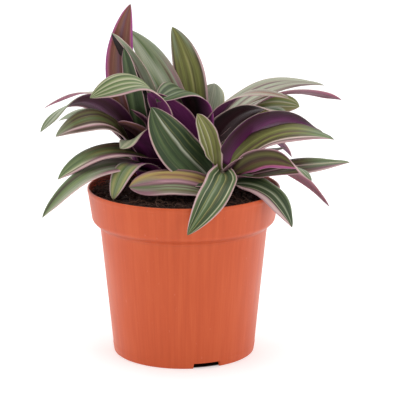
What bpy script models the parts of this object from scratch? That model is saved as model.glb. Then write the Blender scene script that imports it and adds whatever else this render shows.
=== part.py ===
"""A potted tradescantia: a plastic nursery pot, its soil and four clumps of strap leaves.

Metres, +Z up. The origin is the centre of the pot's underside, where it stands. +X is to the
right and -Y to the front. Leaves and stems are given in millimetres, from the soil's level.
"""

import math

import bmesh
import bpy
from mathutils import Matrix, Vector

MM = 0.001

# Pot
POT_HEIGHT = 0.105
RIM_RADIUS = 0.060
BAND_LOW_RADIUS = 0.0571
BAND_HEIGHT = 0.022
WALL_TOP_RADIUS = 0.0525
BASE_RADIUS = 0.0443
WALL = 0.0012
FLOOR_RISE = 0.0036
FOOT_WIDTH = 0.0016
CENTRE_FOOT_RADIUS = 0.018
FOOT_SLOPE = 0.002
BAND_UNDERCUT = 0.0015
POT_STEPS = 64

# Notches in the foot and holes in the floor
NOTCH_COUNT = 3
NOTCH_WIDTH = 0.017
NOTCH_HEIGHT = 0.0033
NOTCH_TURN = -71.4
DRAIN_COUNT = 8
DRAIN_RADIUS = 0.002
DRAIN_CIRCLE = 0.031
DRAIN_SIDES = 12

# Soil
GAP = 0.0003
SOIL_LEVEL = 0.101
SOIL_MOUND = 0.002
SOIL_EDGE_DROP = 0.001
SOIL_STEPS = 48

# Stems: where each stands (right, back), its height, and its two radii
STEM_DEPTH = 18
STEM_FOOT_RADIUS = 4.5
STEM_TOP_RADIUS = 3.0
STEM_SIDES = 10
STEMS = {
    "front": (24, -14, 25),
    "left": (-8, 4, 30),
    "back_left": (-24, 16, 33),
    "back_right": (9, 18, 33),
}

# Leaves
LEAF_SECTIONS = 13
LEAF_START = 6.0
LEAF_THICK = 1.5
LEAF_EDGE_THICK = 0.6
LEAF_BASE_WIDTH = 6.0
LEAF_TIP_WIDTH = 1.6
FOLD_BASE = 38
FOLD_MIDDLE = 14
FOLD_TIP = 8

# One row for each leaf: name, stem, height of its base on the stem, turn seen from above
# (0 right, 90 back, 180 left, 270 front), shoulder (out, up), swing of the tip from the turn,
# tip (out, up), width, roll at the base and roll at the tip. Millimetres and degrees.
LEAVES = [
    ("front_hanging", "front", 16, 264, (34, 14), -15, (61, -9), 20, -10, -30),
    ("right_drooping", "front", 8, 330, (31, 7), 0, (48, -13), 17, 15, 10),
    ("right_thin", "front", 13, 34, (46, 12), -8, (76, -14), 9, -15, -40),
    ("right_low_long", "front", 11, 0, (44, 19), 0, (78, 22), 16, 15, 15),
    ("right_folded", "front", 14, 322, (47, 29), 0, (66, 20), 18, -20, 20),
    ("right_olive", "front", 19, -3, (36, 40), -4, (68, 38), 18, 30, 20),
    ("right_purple", "front", 24, 26, (36, 44), -12, (64, 38), 21, -40, -10),
    ("centre_small", "front", 21, 190, (9, 38), 0, (16, 53), 12, -25, -55),
    ("front_big", "front", 9, 189, (28, 31), 0, (44, 58), 25, -45, -60),
    ("low_yellow", "front", 4, 212, (36, 11), -14, (62, 8), 18, -35, -50),
    ("right_shadow", "front", 17, 45, (24, 22), -15, (46, 26), 15, 0, 0),
    ("right_peek", "front", 5, 60, (26, 9), -4, (40, 5), 12, 0, 0),
    ("left_arch", "left", 9, 241, (29, 34), -8, (43, 30), 19, 0, 10),
    ("left_stub", "left", 18, 196, (26, 43), 2, (34, 46), 9, 0, 0),
    ("left_lower", "left", 16, 200, (47, 24), -6, (72, 10), 15, 0, -20),
    ("left_bottom", "left", 7, 209, (44, 20), -4, (86, -8), 12, -10, -20),
    ("front_left_hang", "left", 3, 243, (41, 24), -9, (49, 3), 19, 0, -30),
    ("left_upper", "left", 25, 220, (27, 67), -12, (55, 64), 21, 15, -75),
    ("edge_on", "left", 28, 166, (24, 79), 20, (36, 100), 13, 15, 15),
    ("narrow", "back_left", 22, 290, (13, 38), -45, (20, 53), 8, 0, 0),
    ("tall", "back_left", 30, 200, (17, 88), 30, (14, 116), 15, 30, 90),
    ("sliver", "back_left", 30, 240, (14, 62), -8, (20, 91), 10, 10, 0),
    ("left_purple", "back_left", 19, 197, (42, 57), 3, (68, 40), 15, 20, -20),
    ("left_thin", "back_left", 19, 138, (48, 54), 16, (73, 44), 12, 0, 10),
    ("left_mid", "back_left", 8, 217, (42, 45), -10, (60, 36), 18, -5, -30),
    ("left_pale", "back_left", 11, 168, (38, 46), 1, (56, 40), 16, 0, -15),
    ("left_inner", "back_left", 27, 160, (15, 48), 10, (21, 62), 10, 0, 0),
    ("top_centre", "back_right", 31, 124, (11, 74), 4, (26, 98), 18, -25, -35),
    ("back_left_green", "back_right", 12, 168, (28, 78), -9, (47, 97), 17, 18, -20),
    ("centre_arch", "back_right", 26, 232, (17, 64), -4, (38, 59), 18, 5, -20),
    ("centre_purple", "back_right", 20, 240, (24, 48), -15, (29, 58), 16, 0, 0),
    ("right_dark", "back_right", 17, 338, (38, 46), 2, (56, 49), 16, -25, -20),
    ("right_edge", "back_right", 26, 338, (36, 62), 7, (58, 59), 13, -30, 10),
    ("right_long_pale", "back_right", 24, 27, (54, 62), -11, (84, 61), 15, 10, 5),
    ("right_twist", "back_right", 19, 4, (60, 59), -4, (90, 55), 15, 25, -30),
    ("right_yellow", "back_right", 13, 21, (46, 49), -9, (66, 48), 15, 5, 30),
    ("back_round", "back_right", 30, 50, (9, 46), 4, (18, 63), 15, 0, 0),
    ("back_1", "back_right", 10, 100, (30, 26), 0, (66, 6), 19, 0, 0),
    ("back_2", "back_right", 4, 72, (34, 20), 0, (74, 0), 19, 0, 0),
    ("back_3", "back_left", 10, 115, (30, 18), 0, (64, -6), 18, 0, 0),
    ("back_4", "back_left", 18, 80, (26, 34), 0, (60, 20), 18, 0, 0),
    ("back_5", "back_left", 7, 140, (30, 14), 0, (58, -10), 18, 0, 0),
    ("back_6", "back_right", 19, 108, (22, 42), 0, (56, 28), 18, 0, 0),
    ("back_7", "front", 8, 80, (36, 16), 0, (84, -2), 17, 0, 0),
    ("back_8", "back_right", 8, 42, (44, 30), 0, (84, 6), 18, 0, 0),
    ("back_9", "back_left", 22, 105, (18, 50), 5, (40, 42), 15, 0, 0),
    ("back_10", "back_left", 3, 100, (28, 8), -10, (54, -10), 16, 0, 0),
    ("back_11", "back_right", 17, 74, (30, 35), -4, (60, 23), 14, -20, 0),
]


def clear_scene():
    for obj in list(bpy.data.objects):
        bpy.data.objects.remove(obj, do_unlink=True)


def material(name, colour, roughness, metallic=0.0):
    made = bpy.data.materials.get(name)
    if made:
        return made
    made = bpy.data.materials.new(name)
    made.use_nodes = True
    shader = made.node_tree.nodes["Principled BSDF"]
    shader.inputs["Base Color"].default_value = (*colour, 1.0)
    shader.inputs["Roughness"].default_value = roughness
    shader.inputs["Metallic"].default_value = metallic
    return made


def pot_plastic():
    return material("terracotta_plastic", (0.60, 0.12, 0.05), 0.42)


def potting_mix():
    return material("potting_mix", (0.030, 0.020, 0.014), 0.95)


def stem_skin():
    return material("stem_skin", (0.22, 0.10, 0.12), 0.55)


def leaf_skin():
    return material("leaf_skin", (0.10, 0.16, 0.06), 0.40)


def finish(bm, name, look, smooth_angle=35):
    """Puts the mesh into an object of this name, with its faces pointing out."""
    bmesh.ops.recalc_face_normals(bm, faces=bm.faces[:])
    mesh = bpy.data.meshes.new(name)
    bm.to_mesh(mesh)
    bm.free()
    mesh.shade_smooth()
    mesh.set_sharp_from_angle(angle=math.radians(smooth_angle))
    mesh.materials.append(look)
    obj = bpy.data.objects.new(name, mesh)
    bpy.context.scene.collection.objects.link(obj)
    return obj


def turned(name, profile, steps, look):
    """A solid of revolution about Z from (radius, height) points that start and end on the axis."""
    bm = bmesh.new()
    line = [bm.verts.new((radius, 0, height)) for radius, height in profile]
    for start, end in zip(line, line[1:]):
        bm.edges.new((start, end))
    bmesh.ops.spin(
        bm,
        geom=bm.verts[:] + bm.edges[:],
        cent=(0, 0, 0),
        axis=(0, 0, 1),
        angle=math.tau,
        steps=steps,
        use_merge=True,
    )
    bmesh.ops.remove_doubles(bm, verts=bm.verts[:], dist=0.00002)
    return finish(bm, name, look)


def cut(obj, cutter):
    cutter.hide_render = True
    cutter.display_type = "WIRE"
    boolean = obj.modifiers.new(cutter.name, "BOOLEAN")
    boolean.operation = "DIFFERENCE"
    boolean.object = cutter


def make_pot():
    band_low = POT_HEIGHT - BAND_HEIGHT
    edge = WALL / 4
    profile = [
        (0, 0),
        (CENTRE_FOOT_RADIUS, 0),
        (CENTRE_FOOT_RADIUS + FOOT_SLOPE, FLOOR_RISE),
        (BASE_RADIUS - FOOT_WIDTH - edge, FLOOR_RISE),
        (BASE_RADIUS - FOOT_WIDTH, 0),
        (BASE_RADIUS - edge, 0),
        (BASE_RADIUS, edge),
        (WALL_TOP_RADIUS, band_low - BAND_UNDERCUT),
        (WALL_TOP_RADIUS + BAND_UNDERCUT, band_low),
        (BAND_LOW_RADIUS - edge, band_low),
        (BAND_LOW_RADIUS, band_low + edge),
        (RIM_RADIUS, POT_HEIGHT - edge),
        (RIM_RADIUS - edge, POT_HEIGHT),
        (RIM_RADIUS - WALL + edge, POT_HEIGHT),
        (RIM_RADIUS - WALL, POT_HEIGHT - edge),
        (BAND_LOW_RADIUS - WALL, band_low + WALL),
        (WALL_TOP_RADIUS - WALL, band_low + WALL),
        (BASE_RADIUS - WALL, FLOOR_RISE + WALL),
        (CENTRE_FOOT_RADIUS + FOOT_SLOPE / 2, FLOOR_RISE + WALL),
        (CENTRE_FOOT_RADIUS - FOOT_SLOPE / 2, WALL),
        (0, WALL),
    ]
    pot = turned("pot", profile, POT_STEPS, pot_plastic())
    cut(pot, notch_cutter())
    cut(pot, drain_cutter())
    return pot


def notch_cutter():
    """Three boxes through the foot, evenly round it, which reach under it."""
    depth = FOOT_WIDTH * 5
    under = 0.002
    bm = bmesh.new()
    for i in range(NOTCH_COUNT):
        turn = math.radians(NOTCH_TURN) + math.tau * i / NOTCH_COUNT
        place = (
            Matrix.Rotation(turn, 4, "Z")
            @ Matrix.Translation((BASE_RADIUS - FOOT_WIDTH / 2, 0, (NOTCH_HEIGHT - under) / 2))
            @ Matrix.Diagonal((depth, NOTCH_WIDTH, NOTCH_HEIGHT + under, 1))
        )
        bmesh.ops.create_cube(bm, size=1, matrix=place)
    return finish(bm, "notch_cutter", pot_plastic())


def drain_cutter():
    """A ring of round plugs through the raised floor."""
    middle = FLOOR_RISE + WALL / 2
    bm = bmesh.new()
    for i in range(DRAIN_COUNT):
        turn = math.radians(NOTCH_TURN) + math.tau * (i + 0.5) / DRAIN_COUNT
        place = Matrix.Rotation(turn, 4, "Z") @ Matrix.Translation((DRAIN_CIRCLE, 0, middle))
        bmesh.ops.create_cone(
            bm,
            cap_ends=True,
            segments=DRAIN_SIDES,
            radius1=DRAIN_RADIUS,
            radius2=DRAIN_RADIUS,
            depth=WALL * 3,
            matrix=place,
        )
    return finish(bm, "drain_cutter", pot_plastic())


def inner_radius(height):
    """The pot's inside radius at this height, over the floor."""
    band_low = POT_HEIGHT - BAND_HEIGHT
    if height > band_low + WALL:
        share = (height - band_low) / BAND_HEIGHT
        return BAND_LOW_RADIUS + share * (RIM_RADIUS - BAND_LOW_RADIUS) - WALL
    return BASE_RADIUS + height / band_low * (WALL_TOP_RADIUS - BASE_RADIUS) - WALL


def soil_height(radius):
    """A low mound that dips a little where it meets the pot."""
    share = min(1.0, radius / inner_radius(SOIL_LEVEL))
    return SOIL_LEVEL + SOIL_MOUND * math.cos(share * math.pi / 2) - SOIL_EDGE_DROP * share**6


def make_soil():
    gap = GAP * 2
    floor = FLOOR_RISE + WALL + GAP
    ledge = POT_HEIGHT - BAND_HEIGHT + WALL
    top = inner_radius(SOIL_LEVEL) - gap
    profile = [
        (0, floor),
        (inner_radius(floor) - gap, floor),
        (WALL_TOP_RADIUS - WALL - gap, ledge + gap),
        (BAND_LOW_RADIUS - WALL - gap, ledge + gap),
    ]
    radii = [top * share for share in (1, 0.96, 0.85, 0.6, 0.3, 0)]
    profile += [(radius, soil_height(radius)) for radius in radii]
    soil = turned("soil", profile, SOIL_STEPS, potting_mix())
    cut(soil, socket_cutter())
    return soil


def stem_profile(grow, tall):
    """(radius, height) in millimetres from the soil's level, foot to top."""
    return [
        (STEM_FOOT_RADIUS * 0.8 + grow, -STEM_DEPTH - grow),
        (STEM_FOOT_RADIUS + grow, -2),
        (STEM_FOOT_RADIUS + grow, 4),
        (STEM_TOP_RADIUS + grow, tall - 2),
        (STEM_TOP_RADIUS * 0.5 + grow, tall),
    ]


def add_stem(bm, name, grow):
    right, back, tall = STEMS[name]
    rings = []
    for radius, height in stem_profile(grow, tall):
        place = Matrix.Translation((right * MM, back * MM, SOIL_LEVEL + height * MM))
        ring = bmesh.ops.create_circle(bm, segments=STEM_SIDES, radius=radius * MM, matrix=place)
        rings.append(ring["verts"])
    for low, high in zip(rings, rings[1:]):
        for i in range(STEM_SIDES):
            j = (i + 1) % STEM_SIDES
            bm.faces.new((low[i], low[j], high[j], high[i]))
    bm.faces.new(rings[0][::-1])
    bm.faces.new(rings[-1])


def make_stem(name):
    bm = bmesh.new()
    add_stem(bm, name, 0)
    return finish(bm, "stem_" + name, stem_skin())


def socket_cutter():
    bm = bmesh.new()
    for name in STEMS:
        add_stem(bm, name, GAP / MM)
    return finish(bm, "socket_cutter", stem_skin())


def polar(stem, turn, out, up):
    """A point in millimetres from a stem's axis, as a vector in metres."""
    right, back, _ = STEMS[stem]
    angle = math.radians(turn)
    x = right + out * math.cos(angle)
    y = back + out * math.sin(angle)
    return Vector((x * MM, y * MM, SOIL_LEVEL + up * MM))


def smooth_step(x):
    x = min(1.0, max(0.0, x))
    return x * x * (3 - 2 * x)


def leaf_width(t, width):
    """Widens from the clasping base to its widest at 0.42, then tapers like a lance."""
    widest = 0.42
    if t < widest:
        return LEAF_BASE_WIDTH + (width - LEAF_BASE_WIDTH) * smooth_step(t / widest)
    taper = (t - widest) / (1 - widest)
    return LEAF_TIP_WIDTH + (width - LEAF_TIP_WIDTH) * (1 - taper**2.2)


def leaf_fold(t):
    """How far each half is folded up from flat, in radians."""
    if t < 0.35:
        fold = FOLD_BASE + (FOLD_MIDDLE - FOLD_BASE) * smooth_step(t / 0.35)
    else:
        fold = FOLD_MIDDLE + (FOLD_TIP - FOLD_MIDDLE) * (t - 0.35) / 0.65
    return math.radians(fold)


def midrib(base, shoulder, tip):
    """A curve of second degree through the three points, as a function of 0 to 1."""
    first = (shoulder - base).length
    at = first / (first + (tip - shoulder).length)
    pull = (shoulder - base * (1 - at) ** 2 - tip * at**2) / (2 * at * (1 - at))

    def point(t):
        return base * (1 - t) ** 2 + pull * (2 * t * (1 - t)) + tip * t**2

    def along(t):
        return ((pull - base) * (1 - t) + (tip - pull) * t).normalized()

    return point, along


def leaf_ring(centre, along, across, up, width, fold):
    """Six corners: along the upper face from left to right, and back along the lower face."""
    half = width / 2
    left = centre - across * (half * math.cos(fold)) + up * (half * math.sin(fold))
    right = centre + across * (half * math.cos(fold)) + up * (half * math.sin(fold))
    thin = up * (LEAF_EDGE_THICK * MM / 2)
    thick = up * (LEAF_THICK * MM / 2)
    return [left + thin, centre + thick, right + thin, right - thin, centre - thick, left - thin]


def make_leaf(name, stem, height, turn, shoulder, swing, tip, width, roll_base, roll_tip):
    start = polar(stem, turn, LEAF_START, height)
    bend = polar(stem, turn, *shoulder)
    end = polar(stem, turn + swing, *tip)
    point, along = midrib(start, bend, end)
    heading = Vector((end.x - start.x, end.y - start.y, 0)).normalized()
    side = heading.cross(Vector((0, 0, 1)))
    bm = bmesh.new()
    rings = []
    for i in range(LEAF_SECTIONS):
        t = i / (LEAF_SECTIONS - 1)
        tangent = along(t)
        across = (side - tangent * side.dot(tangent)).normalized()
        roll = math.radians(roll_base + (roll_tip - roll_base) * t)
        across = Matrix.Rotation(roll, 3, tangent) @ across
        up = across.cross(tangent)
        ring = leaf_ring(point(t), tangent, across, up, leaf_width(t, width) * MM, leaf_fold(t))
        rings.append([bm.verts.new(corner) for corner in ring])
    for low, high in zip(rings, rings[1:]):
        for i in range(6):
            j = (i + 1) % 6
            bm.faces.new((low[i], low[j], high[j], high[i]))
    for ring in (rings[0], rings[-1]):
        bm.faces.new((ring[0], ring[1], ring[4], ring[5]))
        bm.faces.new((ring[1], ring[2], ring[3], ring[4]))
    return finish(bm, "leaf_" + name, leaf_skin(), 60)


clear_scene()
make_pot()
make_soil()
for stem_name in STEMS:
    make_stem(stem_name)
for row in LEAVES:
    make_leaf(*row)
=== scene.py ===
# %% [markdown]
# # A potted tradescantia
# Sword-shaped leaves, striped green and cream above and violet below, grow in four clumps from
# dark peat in a terracotta-coloured nursery pot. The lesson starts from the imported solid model,
# which fixes every size, and gives each piece a finer surface and a finish.
#
# Units are metres. The pot stands on the origin, +X is right, -Y is the front and +Z is up.

import math

import bpy
import numpy as np
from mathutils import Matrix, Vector


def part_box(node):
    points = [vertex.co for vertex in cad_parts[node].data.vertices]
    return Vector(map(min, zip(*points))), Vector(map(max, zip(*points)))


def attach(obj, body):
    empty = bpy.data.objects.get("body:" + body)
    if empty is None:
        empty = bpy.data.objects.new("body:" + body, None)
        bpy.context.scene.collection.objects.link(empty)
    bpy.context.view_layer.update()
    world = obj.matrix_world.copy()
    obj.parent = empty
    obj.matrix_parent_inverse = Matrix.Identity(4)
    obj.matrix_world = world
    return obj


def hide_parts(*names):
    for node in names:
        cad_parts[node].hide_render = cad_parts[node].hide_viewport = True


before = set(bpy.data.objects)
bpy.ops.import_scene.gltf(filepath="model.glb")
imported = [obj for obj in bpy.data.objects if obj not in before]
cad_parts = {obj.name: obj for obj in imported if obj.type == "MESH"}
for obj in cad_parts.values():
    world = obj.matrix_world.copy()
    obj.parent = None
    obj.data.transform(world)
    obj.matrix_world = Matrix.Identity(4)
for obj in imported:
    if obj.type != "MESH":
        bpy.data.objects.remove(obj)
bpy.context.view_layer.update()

# %% [markdown]
# ## The pot and plant in numbers
# The plant is measured in millimetres from the soil's level, as a gardener would with a ruler
# stood on the soil. The pot is in metres.

# %% Sizes
MM = 0.001
POT_HEIGHT = 0.105
RIM_RADIUS = 0.060
BAND_LOW_RADIUS = 0.0571
BAND_HEIGHT = 0.022
WALL_TOP_RADIUS = 0.0525
BASE_RADIUS = 0.0443
WALL = 0.0012
FLOOR_RISE = 0.0036
FOOT_WIDTH = 0.0016
CENTRE_FOOT_RADIUS = 0.018
SOIL_LEVEL = 0.101
band_low = POT_HEIGHT - BAND_HEIGHT
print("pot band starts at", round(band_low, 4), "and the soil is at", SOIL_LEVEL)

# %% [markdown]
# ## Surfaces from grids
# Every new piece is a grid of points, worked out as whole arrays, with faces between neighbours.
# A grid can close on itself in one direction, as a tube does.

# %% Grid helpers
def grid_faces(rows, columns, closed):
    """Four-cornered faces between each row and the next. A closed grid joins its last column
    to its first."""
    low = np.arange(rows - 1)[:, None] * columns
    left = np.arange(columns if closed else columns - 1)[None, :]
    right = (left + 1) % columns
    corners = [low + left, low + right, low + columns + right, low + columns + left]
    return np.stack(corners, axis=-1).reshape(-1, 4)


def smooth_step(x):
    """0 below 0, 1 above 1, and 3x^2 - 2x^3 between them."""
    x = np.clip(x, 0.0, 1.0)
    return x * x * (3 - 2 * x)


def lattice_noise(x, y, size, seed):
    """Random heights from -1 to 1 on a square lattice, blended smoothly between its points."""
    side = 64
    heights = np.random.default_rng(seed).uniform(-1, 1, (side, side))
    gx, gy = x / size + side / 2, y / size + side / 2
    ix, iy = np.floor(gx).astype(int), np.floor(gy).astype(int)
    fx, fy = smooth_step(gx - ix), smooth_step(gy - iy)
    x0, x1, y0, y1 = ix % side, (ix + 1) % side, iy % side, (iy + 1) % side
    low = heights[y0, x0] * (1 - fx) + heights[y0, x1] * fx
    high = heights[y1, x0] * (1 - fx) + heights[y1, x1] * fx
    return low * (1 - fy) + high * fy


def make_piece(name, points, faces, finish, stands_for=(), slot=None, uv=None, marks=None):
    """Puts points and faces into a smooth-shaded mesh that rides on the plant's one body.
    uv holds two numbers and each of marks one number for every point."""
    mesh = bpy.data.meshes.new(name)
    lists = [f.tolist() for f in faces] if isinstance(faces, list) else [faces.tolist()]
    mesh.from_pydata(np.asarray(points).tolist(), [], [face for part in lists for face in part])
    if uv is not None:
        corner = np.empty(len(mesh.loops), np.int32)
        mesh.loops.foreach_get("vertex_index", corner)
        mesh.uv_layers.new(name="leaf_map").data.foreach_set("uv", uv[corner].ravel())
    for mark, values in (marks or {}).items():
        attribute = mesh.attributes.new(mark, "FLOAT", "POINT")
        attribute.data.foreach_set("value", np.asarray(values, np.float32).ravel())
    mesh.shade_smooth()
    mesh.materials.append(finish)
    mesh.update()
    piece = bpy.data.objects.new(name, mesh)
    bpy.context.scene.collection.objects.link(piece)
    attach(piece, "root")
    if stands_for:
        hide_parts(*stands_for)
    return piece


def end_caps(rows, sides, starts):
    """The first and the last ring of each repeated tube, as faces that point away from it."""
    ring = np.arange(sides)
    first = (ring[None] + starts[:, 0]).reshape(-1, sides)
    last = (((rows - 1) * sides + ring)[::-1][None] + starts[:, 0]).reshape(-1, sides)
    return [first, last]


def sharpen(piece, degrees):
    """Marks each edge sharp where its two faces turn by more than this angle."""
    piece.data.set_sharp_from_angle(angle=math.radians(degrees))


# %% [markdown]
# ## Mixing a finish
# A finish is a material built from nodes. Writing each node out in full takes many lines, so a
# small workbench puts a node down, fills its sockets and hands back its first output.

# %% The finish workbench
def linear(red, green, blue):
    """Screen values from 0 to 255 as the linear light values that a shader mixes."""
    share = np.array([red, green, blue]) / 255
    light = np.where(share <= 0.04045, share / 12.92, ((share + 0.055) / 1.055) ** 2.4)
    return (*light.tolist(), 1.0)


class Bench:
    """One material and the nodes put into it so far."""

    def __init__(self, name):
        """Starts a material with its shader."""
        self.material = bpy.data.materials.new(name)
        self.material.use_nodes = True
        self.tree = self.material.node_tree
        self.shader = self.tree.nodes["Principled BSDF"]

    def fill(self, node, inputs):
        """Links each socket that is given, and writes each plain value in."""
        for key, value in inputs.items():
            if isinstance(value, bpy.types.NodeSocket):
                self.tree.links.new(value, node.inputs[key])
            else:
                node.inputs[key].default_value = value

    def put(self, kind, inputs, **settings):
        """Adds a node and returns its first output."""
        node = self.tree.nodes.new("ShaderNode" + kind)
        for key, value in settings.items():
            setattr(node, key, value)
        self.fill(node, inputs)
        return node.outputs[0]

    def places(self):
        """Where each point is, in metres from the object's origin."""
        return self.put("TexCoord", {}).node.outputs["Object"]

    def split(self, vector):
        """The three parts of a vector."""
        return self.put("SeparateXYZ", {0: vector}).node.outputs[:3]

    def join(self, x, y, z):
        """A vector made of three values."""
        return self.put("CombineXYZ", {0: x, 1: y, 2: z})

    def sum(self, operation, a, b=0.0, c=0.0):
        """One Math node, such as a + b, or a * b + c."""
        return self.put("Math", {0: a, 1: b, 2: c}, operation=operation)

    def reach(self, x, y):
        """The distance from the upright axis, the root of x^2 + y^2."""
        squares = self.sum("MULTIPLY", x, x), self.sum("MULTIPLY", y, y)
        return self.sum("SQRT", self.sum("ADD", *squares))

    def stretch(self, vector, scale):
        """The vector times the scale, part by part."""
        return self.put("VectorMath", {0: vector, 1: scale}, operation="MULTIPLY")

    def noise(self, vector, scale, detail=2.0, roughness=0.5):
        """Soft noise from 0 to 1. A larger scale gives smaller blots."""
        inputs = {"Vector": vector, "Scale": scale, "Detail": detail, "Roughness": roughness}
        return self.put("TexNoise", inputs)

    def spread(self, value, low, high, to_low=0.0, to_high=1.0):
        """Maps low..high to to_low..to_high, and holds the ends."""
        return self.put("MapRange", {0: value, 1: low, 2: high, 3: to_low, 4: to_high})

    def mix(self, share, a, b, blend="MIX"):
        """Goes from a to b, or to their blend, as the share goes from 0 to 1."""
        node = self.tree.nodes.new("ShaderNodeMix")
        node.data_type = "RGBA"
        node.blend_type = blend
        self.fill(node, {0: share, 6: a, 7: b})
        return node.outputs[2]

    def ramp(self, value, stops):
        """A band of colours: stops are (place from 0 to 1, colour)."""
        output = self.put("ValToRGB", {0: value})
        band = output.node.color_ramp
        for place, colour in stops[1:-1]:
            band.elements.new(place).color = colour
        for end, (place, colour) in ((0, stops[0]), (-1, stops[-1])):
            band.elements[end].position = place
            band.elements[end].color = colour
        return output

    def bump(self, height, strength, depth, under=None):
        """A normal tilted by the slope of the height, on top of the one under it."""
        inputs = {"Strength": strength, "Distance": depth, "Height": height}
        if under is not None:
            inputs["Normal"] = under
        return self.put("Bump", inputs)

    def done(self, colour, roughness, normal=None, **sockets):
        """Connects the shader. Names of further sockets are written with underscores."""
        inputs = {"Base Color": colour, "Roughness": roughness}
        if normal is not None:
            inputs["Normal"] = normal
        inputs.update({key.replace("_", " "): value for key, value in sockets.items()})
        self.fill(self.shader, inputs)
        return self.material


print("workbench ready; mid grey is", [round(v, 3) for v in linear(128, 128, 128)[:3]])

# %% [markdown]
# ## The pot's plastic
# The pot is thin moulded plastic, so its colour is even but its wall carries faint upright streaks.
# Noise that is squeezed round the pot and drawn out up and down gives them. The direction from the
# axis is used instead of an angle, so that there is no seam. The dark line under the band is
# painted shade, set by height alone.

# %% Pot finish
LINE_BELOW = 0.0035
LINE_ABOVE = 0.0022


def pot_plastic():
    """Orange-brown by the noise, with paler scuffs and a painted shade line under the band."""
    bench = Bench("terracotta_plastic")
    place = bench.places()
    x, y, z = bench.split(place)
    reach = bench.sum("MAXIMUM", bench.reach(x, y), 0.001)
    round_pot = bench.join(bench.sum("DIVIDE", x, reach), bench.sum("DIVIDE", y, reach), 0.0)
    round_x, round_y, _ = bench.split(round_pot)
    broad = bench.noise(bench.join(round_x, round_y, bench.sum("MULTIPLY", z, 1.2)), 14.0, 3.0, 0.6)
    fine = bench.noise(bench.join(round_x, round_y, bench.sum("MULTIPLY", z, 0.3)), 75.0, 2.0, 0.6)
    cloud = bench.noise(place, 30.0, 3.0)
    colour = bench.ramp(
        bench.sum("ADD", bench.sum("MULTIPLY", broad, 0.75), bench.sum("MULTIPLY", fine, 0.25)),
        [
            (0.30, linear(190, 78, 36)),
            (0.48, linear(196, 82, 39)),
            (0.60, linear(200, 87, 43)),
            (0.78, linear(205, 96, 52)),
        ],
    )
    colour = bench.mix(bench.spread(cloud, 0.45, 0.75, 0.0, 0.2), colour, linear(190, 76, 36))
    scuff = bench.noise(bench.stretch(place, (1, 1, 0.5)), 520.0, 2.0)
    colour = bench.mix(bench.spread(scuff, 0.7, 0.82, 0.0, 0.22), colour, linear(226, 150, 122))
    # Painted shade: a thin dark line at the foot of the band, where the band's lip shades the wall.
    below_band = bench.spread(z, band_low - LINE_BELOW, band_low, 0.0, 1.0)
    under_band = bench.spread(z, band_low, band_low + LINE_ABOVE, 1.0, 0.0)
    painted_shade_line = bench.sum("MULTIPLY", bench.sum("MULTIPLY", below_band, under_band), 0.4)
    colour = bench.mix(painted_shade_line, colour, linear(128, 54, 34))
    grain = bench.noise(place, 900.0, 2.0)
    normal = bench.bump(fine, 0.10, 0.0003)
    normal = bench.bump(grain, 0.12, 0.0002, normal)
    rough = bench.spread(cloud, 0.3, 0.7, 0.34, 0.46)
    return bench.done(colour, rough, normal, Specular_IOR_Level=0.32)


pot_finish = pot_plastic()

# %% [markdown]
# ## The pot
# The wall is one closed outline turned about the axis: up the outside, over the rim and down the
# inside. Each corner of the outline is rounded by a short curve, because moulded plastic has no
# sharp edges. Three notches in the foot let water out. They are made by lifting the foot's lowest
# points wherever the angle lies in a notch, so the surface stays one closed grid.

# %% Pot outline
def rounded_outline(corners, steps=4):
    """Replaces each corner by a curve of second degree. Corner rows are (radius, height, how far
    from the corner the curve starts)."""
    corners = np.array(corners, float)
    here, cut_back = corners[:, :2], corners[:, 2:]
    before, after = np.roll(here, 1, axis=0), np.roll(here, -1, axis=0)
    before[0], after[-1] = here[0], here[-1]
    to_before, to_after = before - here, after - here
    to_before /= np.maximum(np.linalg.norm(to_before, axis=1, keepdims=True), 1e-9)
    to_after /= np.maximum(np.linalg.norm(to_after, axis=1, keepdims=True), 1e-9)
    start = (here + to_before * cut_back)[:, None, :]
    end = (here + to_after * cut_back)[:, None, :]
    t = np.linspace(0, 1, steps)[None, :, None]
    curve = start * (1 - t) ** 2 + here[:, None, :] * 2 * t * (1 - t) + end * t**2
    flat = curve.reshape(-1, 2)
    keep = np.append(True, np.linalg.norm(np.diff(flat, axis=0), axis=1) > 1e-6)
    return flat[keep]


def wall_radius(height):
    """The outside of the straight wall between foot and band."""
    return BASE_RADIUS + (WALL_TOP_RADIUS - BASE_RADIUS) * height / band_low


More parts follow.
